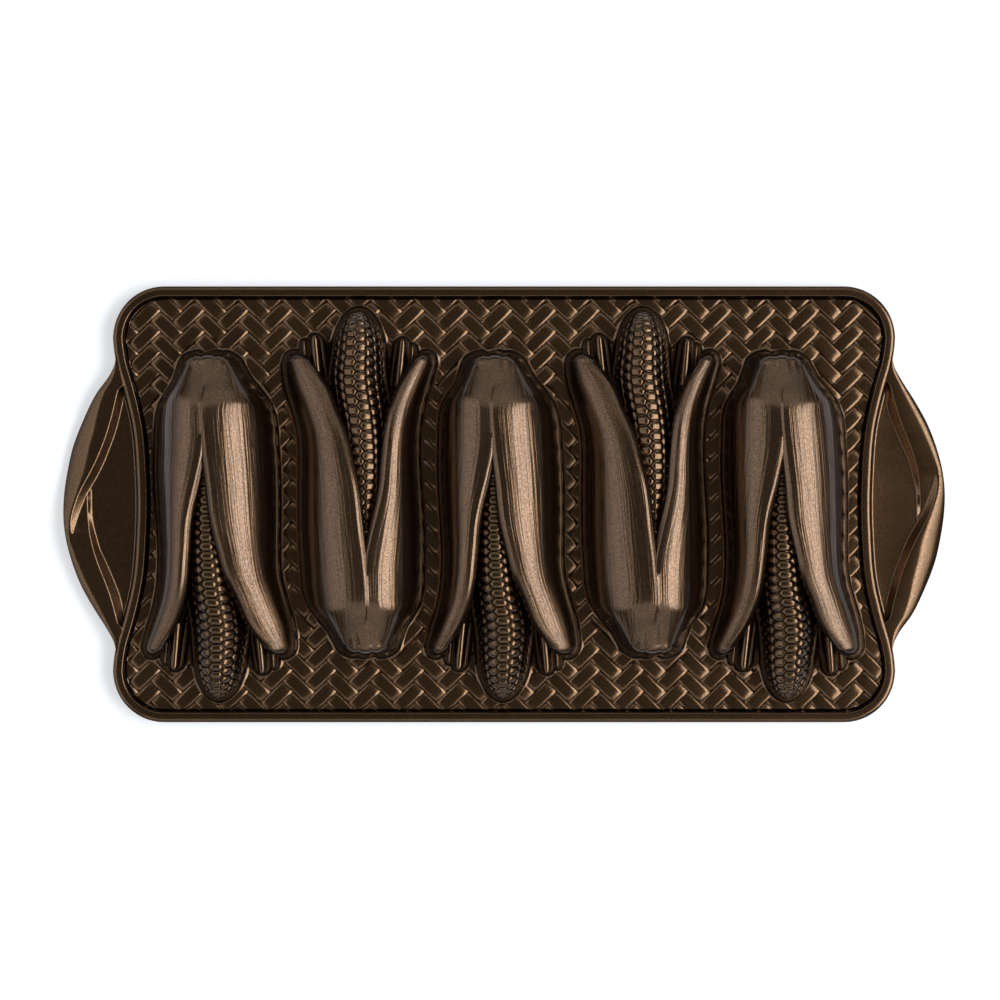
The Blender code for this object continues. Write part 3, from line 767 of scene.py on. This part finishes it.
def spread_kernels(core, kernel, apart, length, fading, places):
    """Joins copies of the kernel to the core in rows, each bent to follow the cob's surface."""
    ends = [0.0]
    while ends[-1] < cob_travel[-1]:
        size = cob_place(ends[-1], 0.0)[1] / cob_widest if ends[-1] > cob_broadest else 1.0
        if size < SMALLEST_ROW:
            break
        ends.append(ends[-1] + length * min(1.0, ROW_LENGTHS[0] + ROW_LENGTHS[1] * size))
    shape = bmesh.new()
    shape.from_mesh(core.data)
    for row, place in enumerate(places):
        for low, high in zip(ends, ends[1:]):
            middle = high if row % 2 else (low + high) / 2
            pace = (high - low) / length
            share = cob_place(middle, place * apart)[2]
            if not FOOT_SHARE < share < 1 - FOOT_SHARE:
                continue
            copy = kernel.data.copy()
            for vert in copy.vertices:
                travel = middle - vert.co.y * pace
                columns = place * apart + vert.co.x
                spot, way, share = cob_place(travel, columns)
                beside = cob_place(travel, columns + PROBE)[0] - cob_place(travel, columns - PROBE)[0]
                along = cob_place(travel + PROBE, columns)[0] - cob_place(travel - PROBE, columns)[0]
                outward = along.cross(beside).normalized()
                size = way / cob_widest if travel > cob_broadest else 1.0
                left = min(max((size - fading[1]) / (fading[0] - fading[1]), LEAST_RISE), 1.0)
                rise = max(vert.co.z - KERNEL_SINK / 2, 0.0) * left
                sunk = CORE_INSET * (SINK_SHARES[0] + SINK_SHARES[1] * left)
                vert.co = spot + outward * (rise - sunk - (vert.co.z < 0) * KERNEL_SINK)
                vert.co.z = max(vert.co.z, SEAT_HEIGHT)
            shape.from_mesh(copy)
            bpy.data.meshes.remove(copy)
    bmesh.ops.recalc_face_normals(shape, faces=shape.faces)
    shape.to_mesh(core.data)
    shape.free()


for turned, (apart, length, flat, fading, places) in enumerate(KERNEL_ROWS):
    kernel = one_kernel(apart, length, flat)
    core = drawn_form(f"core {turned}", dome_section, COB, COB_TIP, CORE_INSET, steps=30, tips=10)
    combine(core, "DIFFERENCE", [hollow, below], keep=True)
    spread_kernels(core, kernel, apart, length, fading, places)
    place_in_moulds(core, "kernel_cob", bronze, "cob", 38.0, range(turned, MOULD_COUNT, 2))
    take_away(kernel)


# Leaflets
# Two short leaflets stand on each side of a cob, in front of the husk leaves. Each is a bar with drafted
# sides and a gently crowned top, rounded at its free end. They are cast in one with the rest.
LEAFLET_TIP = 0.05
LEAFLET_TOP_SHARE = 0.60
LEAFLET_CROWN = 0.0018
LEAFLET_CROWN_POWER = 2.2
LEAFLET_CROWN_STEPS = 7
LEAFLET_EDGE_RISE = 0.0002
LEAFLET_END_DROP = 0.35
# Over a leaflet's shoulder: (share of its half width, drop below the crown's edge)
LEAFLET_SHOULDER = ((0.70, 0.0006), (0.79, 0.0016), (0.87, 0.0034))
# Stations of each leaflet, as for the rounded forms: (along, middle, half width, top)
LEFT_LEAFLETS = (
    ((-0.56, -0.50, 0.11, 0.33), (-0.775, -0.545, 0.098, 0.27)),
    ((-0.60, -0.64, 0.07, 0.17), (-0.74, -0.67, 0.06, 0.13)),
)
RIGHT_LEAFLETS = (
    ((-0.56, 0.52, 0.11, 0.33), (-0.795, 0.570, 0.098, 0.27)),
    ((-0.60, 0.68, 0.07, 0.19), (-0.765, 0.71, 0.06, 0.15)),
)


def leaflet_section(section, inset, low):
    """Across a leaflet: drafted sides, rounded shoulders and a gently crowned top."""
    along, middle, half, top, shrink = section
    y = along * mould_half_length
    middle *= mould_half_width
    half = half * mould_half_width * shrink
    high = DECK_TOP + top * MOULD_HEIGHT * (1 - (1 - shrink) ** LEAFLET_CROWN_POWER * LEAFLET_END_DROP)
    foot = DECK_TOP - FOOT_DEPTH
    crown = LEAFLET_CROWN * shrink
    arch = []
    for i in range(LEAFLET_CROWN_STEPS + 1):
        across = i / LEAFLET_CROWN_STEPS
        arch.append((across * LEAFLET_TOP_SHARE, high - crown * across**LEAFLET_CROWN_POWER))
    arch += [(share, high - crown - drop) for share, drop in LEAFLET_SHOULDER]
    arch = [(share, max(z, foot + LEAFLET_EDGE_RISE)) for share, z in arch] + [(1.0, foot)]
    points = [(middle - half, y, low)]
    points += [(middle - half * share, y, z) for share, z in arch[::-1]]
    points += [(middle + half * share, y, z) for share, z in arch[1:]]
    points.append((middle + half, y, low))
    return points


for side, pair in (("left", LEFT_LEAFLETS), ("right", RIGHT_LEAFLETS)):
    fingers = [drawn_form("leaflet", leaflet_section, leaflet, LEAFLET_TIP, steps=14) for leaflet in pair]
    combine(fingers[0], "UNION", fingers[1:])
    combine(fingers[0], "DIFFERENCE", [hollow, below], keep=True)
    place_in_moulds(fingers[0], f"leaflet_pair_{side}", bronze, f"leaflet_{side}")


# Woven deck
# The deck between the moulds is one thin plate, cast with a basket weave in relief: broad strips cross at
# right angles, each passing over two and under two. Round every mould a small fillet rises to its wall.
DARK_BRONZE = (0.228, 0.120, 0.053, 1.0)
PLATE_INSET = 0.0045
STRIPS_INSET = 0.0060
STRIP_STEP = (0.004875, 0.00469)
STRIP_CORNER = (-0.0741, -0.0738)
STRIP_END_GAP = 0.00034
# Along a strip, from end to end, in shares of its half length. Towards its ends it dips by STRIP_DIP.
STRIP_SHARES = (-1.0, -0.86, -0.7, -0.5, 0.0, 0.5, 0.7, 0.86, 1.0)
STRIP_DIP = 0.0007
STRIP_DIP_POWER = 4
STRIP_DEPTH = 0.0022
# Steps of the pattern laid out each way from its corner: more than the deck holds
PATTERN_REACH = 60
# Over a strip's long edge: (distance in from the edge, depth below its top), in millimetres
STRIP_EDGE = ((0.12, 1.2), (0.16, 0.62), (0.24, 0.44), (0.64, 0.22), (0.90, 0.11), (1.2, 0.03), (1.5, 0.0))
# The fillet round a mould, from the deck up: (distance out from the mould, height above the deck's top)
FILLET = (
    (2.3, -2.6), (2.2, -0.35), (1.8, -0.12), (1.45, 0.03), (1.15, 0.22), (0.90, 0.50), (0.70, 0.90),
    (0.52, 1.50), (0.36, 2.20), (0.20, 2.80), (-1.2, 2.90),
)
# What is cleared of strips round a mould, and how far out a strip has to show to be laid at all
CLEARING = ((0.6, -4.0), (0.6, 3.0))
HIDDEN_MARGIN = 0.0004
MOULD_REACH = 1.1
FIELD_HEIGHT = 0.02


def slab(name, inset, low, high):
    """A plate with the body's outline, this far inside the rim's edge, from one height to another."""
    plate = laid_face(name, [(x, y, low) for x, y in body_outline(inset)])
    bpy.ops.mesh.extrude_region_move(TRANSFORM_OT_translate={"value": (0.0, 0.0, high - low)})
    close_form()
    return plate


def footprint(stations, tip, section, steps=22, tips=9):
    """A form's outline on the deck, counter-clockwise."""
    one_side, other_side = [], []
    for s in sections_of(stations, tip, steps, tips):
        across = section(s, 0.0, 0.0)
        one_side.append(Vector(across[0][:2]))
        other_side.append(Vector(across[-1][:2]))
    outline = one_side + other_side[::-1]
    area = sum(a.x * b.y - b.x * a.y for a, b in zip(outline, outline[1:] + outline[:1]))
    return outline if area > 0 else outline[::-1]


def grown(outline, distance):
    """The outline moved out by this distance."""
    moved = []
    for before, here, after in zip(outline[-1:] + outline[:-1], outline, outline[1:] + outline[:1]):
        along = (after - before).normalized()
        moved.append((here.x + along.y * distance, here.y - along.x * distance))
    return moved


FOOTPRINTS = [footprint(leaf, LEAF_TIP, leaf_section) for leaf in (LEFT_LEAF, RIGHT_LEAF)]
FOOTPRINTS += [footprint(STALK, STALK_TIP, stalk_section, steps=12)]
FOOTPRINTS += [footprint(COB, COB_TIP, dome_section)]
for leaflet in LEFT_LEAFLETS + RIGHT_LEAFLETS:
    FOOTPRINTS.append(footprint(leaflet, LEAFLET_TIP, dome_section, steps=6))


def footprint_solid(name, profile):
    """The mould's footprint as a solid whose sides follow this profile of distances out and heights."""
    solids = []
    for outline in FOOTPRINTS:
        rings = []
        for out, height in profile:
            rings.append([(x, y, DECK_TOP + height / 1000) for x, y in grown(outline, out / 1000)])
        solids.append(drawn_out(name, rings))
    combine(solids[0], "UNION", solids[1:])
    return solids[0]


def inside(point, outline):
    """Whether the point lies inside this outline."""
    crossings = 0
    for a, b in zip(outline, outline[1:] + outline[:1]):
        if (a[1] > point.y) != (b[1] > point.y):
            crossings += point.x < a[0] + (point.y - a[1]) / (b[1] - a[1]) * (b[0] - a[0])
    return crossings % 2 == 1


def one_strip(long, wide, turn):
    """A strip where it passes over two others: its long edges are rounded off, and both its ends dip."""
    rings = []
    for share in STRIP_SHARES:
        x, top = share * long / 2, DECK_TOP - STRIP_DIP * abs(share) ** STRIP_DIP_POWER
        edge = [(wide / 2 - run / 1000, top - drop / 1000) for run, drop in STRIP_EDGE]
        edge = [(edge[0][0], DECK_TOP - STRIP_DEPTH)] + edge
        rings.append([(x, -y, z) for y, z in edge] + [(x, y, z) for y, z in edge[::-1]])
    strip = drawn_out("strip", rings)
    strip.data.transform(turn)
    return strip


def under_mould(point):
    """Whether the point of the deck lies under one of the moulds."""
    for index in range(MOULD_COUNT):
        local = mould_place(index).inverted() @ point
        if abs(local.x) < mould_half_width * MOULD_REACH and any(inside(local, c) for c in clearings):
            return True
    return False


plate = slab("deck_plate", PLATE_INSET, DECK_LIFT, DECK_FLOOR)
fillet = footprint_solid("fillet", FILLET)
combine(fillet, "DIFFERENCE", [hollow], keep=True)
clearing = footprint_solid("clearing", CLEARING)
clearings = [grown(outline, HIDDEN_MARGIN) for outline in FOOTPRINTS]
field = body_outline(STRIPS_INSET)

rise_step = Vector((STRIP_STEP[0], STRIP_STEP[1], 0.0))
fall_step = Vector((STRIP_STEP[0], -STRIP_STEP[1], 0.0))
upright = Vector((0.0, 0.0, 1.0))
reach = rise_step.length
corner = Vector((*STRIP_CORNER, 0.0)) - 2 * rise_step - fall_step
strips = bmesh.new()
# The two directions of strips: (step along, step across, which way that turns, start of the pattern)
for long_step, short_step, hand, start in ((rise_step, fall_step, -1, 0), (fall_step, rise_step, 1, 2)):
    turn = Matrix((long_step.normalized(), short_step.normalized() * hand, upright)).transposed()
    strip = one_strip(2 * reach - STRIP_END_GAP, reach, turn.to_4x4())
    for i in range(-PATTERN_REACH, PATTERN_REACH + 1):
        for j in range(-PATTERN_REACH, PATTERN_REACH + 1):
            if (i + j - start) % 4:
                continue
            place = corner + long_step * i + short_step * j
            samples = [place + long_step * u / 2 + short_step * v / 2 for u in range(5) for v in range(3)]
            if not any(inside(sample, field) for sample in samples):
                continue
            if all(under_mould(sample) for sample in samples):
                continue
            copy = strip.data.copy()
            copy.transform(Matrix.Translation(place + long_step + short_step / 2))
            strips.from_mesh(copy)
            bpy.data.meshes.remove(copy)
    take_away(strip)
bmesh.ops.recalc_face_normals(strips, faces=strips.faces)
weave = bpy.data.objects.new("woven_strips", bpy.data.meshes.new("woven_strips"))
bpy.context.scene.collection.objects.link(weave)
strips.to_mesh(weave.data)
strips.free()

combine(weave, "INTERSECT", [slab("edge", STRIPS_INSET, 0.0, FIELD_HEIGHT)])
fillets = []
for index in range(MOULD_COUNT):
    combine(plate, "DIFFERENCE", [copy_at(hollow, "mouth", mould_place(index))])
    combine(weave, "DIFFERENCE", [copy_at(clearing, "cut", mould_place(index))])
    fillets.append(copy_at(fillet, f"mould_fillet_{index + 1}", mould_place(index)))
take_away(fillet, clearing)
woven_bronze = bronze_finish("woven_bronze", DARK_BRONZE)
for piece, sharp in ((plate, 30.0), (weave, 20.0), *((skirt, 40.0) for skirt in fillets)):
    coat(piece, woven_bronze if piece in (plate, weave) else bronze, sharp)
    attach(piece, "root")
    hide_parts("deck")


# Handles
# Each end has a handle cast in one with the rim: two overlapping leaves curve round a thin closed panel. The
# upper leaf's tip lies over the lower leaf. The right handle is the left one turned end for end.
HANDLE_REACH = 0.0222
LEAF_EDGE_LOW = 0.0024
LEAF_EDGE_SLOPE = 0.45
# The undersides of the upper and the lower leaf lie at these heights, and never in one plane
LEAF_BASES = (0.0003, 0.0006)
# The handle's outer edge: (across the pan in half spans of the handle, share of the handle's reach)
HANDLE_OUTLINE = (
    (1.08, -0.07), (1.0, -0.02), (0.92, 0.10), (0.81, 0.33), (0.62, 0.60), (0.42, 0.82), (0.2, 0.95),
    (0.0, 1.0), (-0.2, 0.965), (-0.4, 0.84), (-0.6, 0.63), (-0.76, 0.38), (-0.9, 0.13), (-1.0, -0.02),
    (-1.08, -0.07),
)
# Across the left handle, in millimetres from the pan's middle: (y, bevel's upper edge, top's inner edge,
# wall's foot, height at the bevel, height at the inner edge, height at the foot)
UPPER_LEAF = (
    (65.5, 171.6, 170.4, 169.4, 7.0, 7.0, 4.0),
    (60.4, 171.7, 169.9, 168.9, 7.0, 7.0, 4.0),
    (58.0, 172.2, 169.3, 168.3, 7.0, 7.0, 4.0),
    (55.0, 173.3, 168.5, 167.5, 7.0, 7.0, 4.0),
    (53.0, 174.4, 167.9, 166.9, 7.0, 7.0, 4.0),
    (51.8, 175.2, 169.1, 167.6, 7.0, 7.0, 4.0),
    (50.8, 175.9, 170.3, 168.3, 7.0, 7.0, 3.9),
    (49.5, 176.6, 170.9, 168.6, 7.0, 7.0, 3.9),
    (47.0, 177.5, 171.5, 168.8, 7.0, 7.0, 3.9),
    (45.0, 178.2, 171.9, 169.0, 7.0, 7.0, 3.9),
    (40.0, 179.6, 173.1, 170.1, 7.0, 7.0, 3.9),
    (35.0, 180.6, 174.5, 171.3, 7.0, 7.0, 3.9),
    (30.0, 181.8, 176.0, 172.8, 7.0, 7.0, 3.9),
    (25.0, 183.2, 177.9, 174.7, 7.0, 7.0, 3.9),
    (20.0, 184.2, 180.0, 176.6, 7.0, 7.0, 3.9),
    (15.0, 185.4, 182.4, 178.9, 7.0, 7.0, 3.9),
    (10.0, 187.1, 185.1, 181.6, 7.0, 7.0, 3.9),
    (5.0, 188.9, 187.7, 184.4, 7.0, 7.0, 4.2),
    (0.0, 190.5, 189.6, 186.5, 7.0, 7.0, 4.5),
    (-5.0, 191.9, 191.0, 188.4, 7.0, 7.0, 5.0),
    (-9.0, 192.4, 191.5, 189.6, 7.0, 7.0, 5.6),
    (-11.5, 192.4, 191.3, 190.2, 7.0, 7.0, 6.2),
    (-13.0, 192.3, 191.0, 190.5, 7.0, 6.9, 6.6),
)
LOWER_LEAF = (
    (7.0, 186.6, 184.0, 182.9, 4.1, 4.1, 3.9),
    (5.0, 188.3, 184.4, 182.7, 4.35, 4.35, 3.9),
    (0.0, 190.3, 184.5, 182.7, 4.65, 4.65, 3.9),
    (-5.0, 191.5, 184.2, 182.5, 5.1, 5.1, 3.9),
    (-9.0, 192.0, 183.8, 181.9, 5.6, 5.6, 3.9),
    (-11.5, 192.2, 183.5, 181.3, 6.3, 5.95, 3.9),
    (-13.0, 192.2, 183.2, 180.9, 6.9, 6.15, 3.9),
    (-16.0, 191.8, 182.6, 180.1, 7.0, 6.5, 3.9),
    (-20.0, 190.4, 181.5, 178.9, 7.0, 6.8, 3.9),
    (-25.0, 188.6, 179.9, 176.6, 7.0, 7.0, 3.9),
    (-30.0, 186.4, 178.0, 174.4, 7.0, 7.0, 3.9),
    (-35.0, 184.2, 176.0, 172.3, 7.0, 7.0, 3.9),
    (-40.0, 181.6, 174.2, 170.4, 7.0, 7.0, 3.9),
    (-45.0, 179.0, 172.7, 169.2, 7.0, 7.0, 3.9),
    (-50.0, 176.4, 171.4, 168.8, 7.0, 7.0, 3.9),
    (-52.6, 175.1, 170.7, 168.5, 7.0, 7.0, 3.9),
    (-53.8, 174.5, 169.7, 168.2, 7.0, 7.0, 4.0),
    (-55.0, 173.9, 168.5, 167.5, 7.0, 7.0, 4.0),
    (-58.0, 172.4, 169.3, 168.3, 7.0, 7.0, 4.0),
    (-60.4, 171.7, 169.9, 168.9, 7.0, 7.0, 4.0),
    (-65.5, 171.6, 170.4, 169.4, 7.0, 7.0, 4.0),
)
# Over the bevel: (share of its width, share of its height)
BEVEL_UPPER = ((0.0, 0.0), (0.04, 0.09), (0.35, 0.42), (0.70, 0.78), (0.88, 0.93), (1.0, 0.985), (1.12, 1.0))
BEVEL_LOWER = ((0.0, 0.0), (0.04, 0.10), (0.25, 0.38), (0.50, 0.66), (0.75, 0.86), (1.0, 0.97), (1.25, 1.0))
# Over the inner edge and down the wall, in millimetres from the edge and the foot
EDGE_ROUNDING = ((-0.75, -0.01), (-0.35, -0.06), (0.0, -0.20), (0.22, -0.42))
FOOT_ROUNDING = ((-0.50, 0.42), (-0.22, 0.20), (0.10, 0.05), (0.55, -0.02), (0.75, -0.6))
# In millimetres too. Beyond LEAVES_CROSS the lower leaf is hidden under the upper one, and is narrow.
LEAF_STEP = 2.0
OUTLINE_INSET = 0.05
LOWER_CHAMFER = 0.4
LEAVES_CROSS = -12.0
HIDDEN_WIDTH = 1.0
PANEL_STEP = 3.0
PANEL_START = 51.0
PANEL_LENGTH = 105.0
PANEL_LOW = 1.5
PANEL_TOP = 3.9
# The panel reaches this far under a leaf's foot, which is the upper leaf's beyond FEET_MEET
PANEL_TUCK = 1.6
FEET_MEET = 6.0
PANEL_LEAST = 1.4
# Over the fillet up the rim's wall: (distance out from the wall, height above the panel)
PANEL_FILLET = ((1.2, 0.0), (0.80, 0.05), (0.50, 0.22), (0.30, 0.55), (0.12, 1.2), (-0.15, 2.3), (-0.9, 2.3))


def handle_leaf(name, rows, base, bevel_shares, hidden_above=math.inf):
    """A handle leaf lofted along Y through sections across it, finely spaced between the rows."""
    places = sorted({row[0] for row in rows}, reverse=True)
    levels = []
    for high, low in zip(places, places[1:]):
        count = max(1, round((high - low) / LEAF_STEP))
        levels += [high + (low - high) * i / count for i in range(count)]
    levels.append(places[-1])
    rings = []
    for y in levels:
        crest, edge, foot, high, edge_high, foot_high = station_at(rows, y)
        bulge = HANDLE_REACH * smooth_value(HANDLE_OUTLINE, y / 1000 / half_span)
        outer = (half_length + bulge) * 1000 - OUTLINE_INSET
        if y > hidden_above:
            outer = crest + HIDDEN_WIDTH
        bevel = outer - crest
        low_edge = max(LEAF_EDGE_LOW * 1000, high - bevel * LEAF_EDGE_SLOPE)
        ring = [(outer - LOWER_CHAMFER, base * 1000), (outer, base * 1000 + LOWER_CHAMFER)]
        for across, up in bevel_shares:
            ring.append((outer - bevel * across, low_edge + (high - low_edge) * up))
        for run, rise in EDGE_ROUNDING:
            ring.append((edge - run, edge_high + rise))
        for run, rise in FOOT_ROUNDING:
            ring.append((foot - run, foot_high + rise))
        ring.append((foot - FOOT_ROUNDING[-1][0], base * 1000))
        rings.append([(-x / 1000, y / 1000, z / 1000) for x, z in ring])
    return drawn_out(name, rings)


def handle_panel():
    """The thin panel between the leaves and the rim, with a fillet up the rim's outer wall."""
    rings = []
    count = round(PANEL_LENGTH / PANEL_STEP)
    for i in range(count + 1):
        y = PANEL_START - PANEL_LENGTH * i / count
        foot = station_at(UPPER_LEAF if y > FEET_MEET else LOWER_LEAF, y)[2]
        rim_x = (half_length - bow_at(y / 1000)) * 1000
        outer = max(foot + PANEL_TUCK, rim_x + PANEL_LEAST)
        ring = [(outer, PANEL_LOW), (outer, PANEL_TOP)]
        ring += [(rim_x + run, PANEL_TOP + rise) for run, rise in PANEL_FILLET]
        ring.append((rim_x + PANEL_FILLET[-1][0], PANEL_LOW))
        rings.append([(-x / 1000, y / 1000, z / 1000) for x, z in ring])
    return drawn_out("handle_panel", rings)


handle_parts = (
    (handle_leaf("handle_upper_leaf", UPPER_LEAF, LEAF_BASES[0], BEVEL_UPPER), "upper_leaf"),
    (handle_leaf("handle_lower_leaf", LOWER_LEAF, LEAF_BASES[1], BEVEL_LOWER, LEAVES_CROSS), "lower_leaf"),
    (handle_panel(), "panel"),
)
for first, node in handle_parts:
    coat(first, bronze, 30.0)
    for side, angle in (("left", 0.0), ("right", math.pi)):
        place_copy(first, f"{side}_{first.name}", f"handle_{side}_{node}", Matrix.Rotation(angle, 4, "Z"))
    take_away(first)


# End
# The two solids that only cut the moulds are taken away.
take_away(hollow, below)
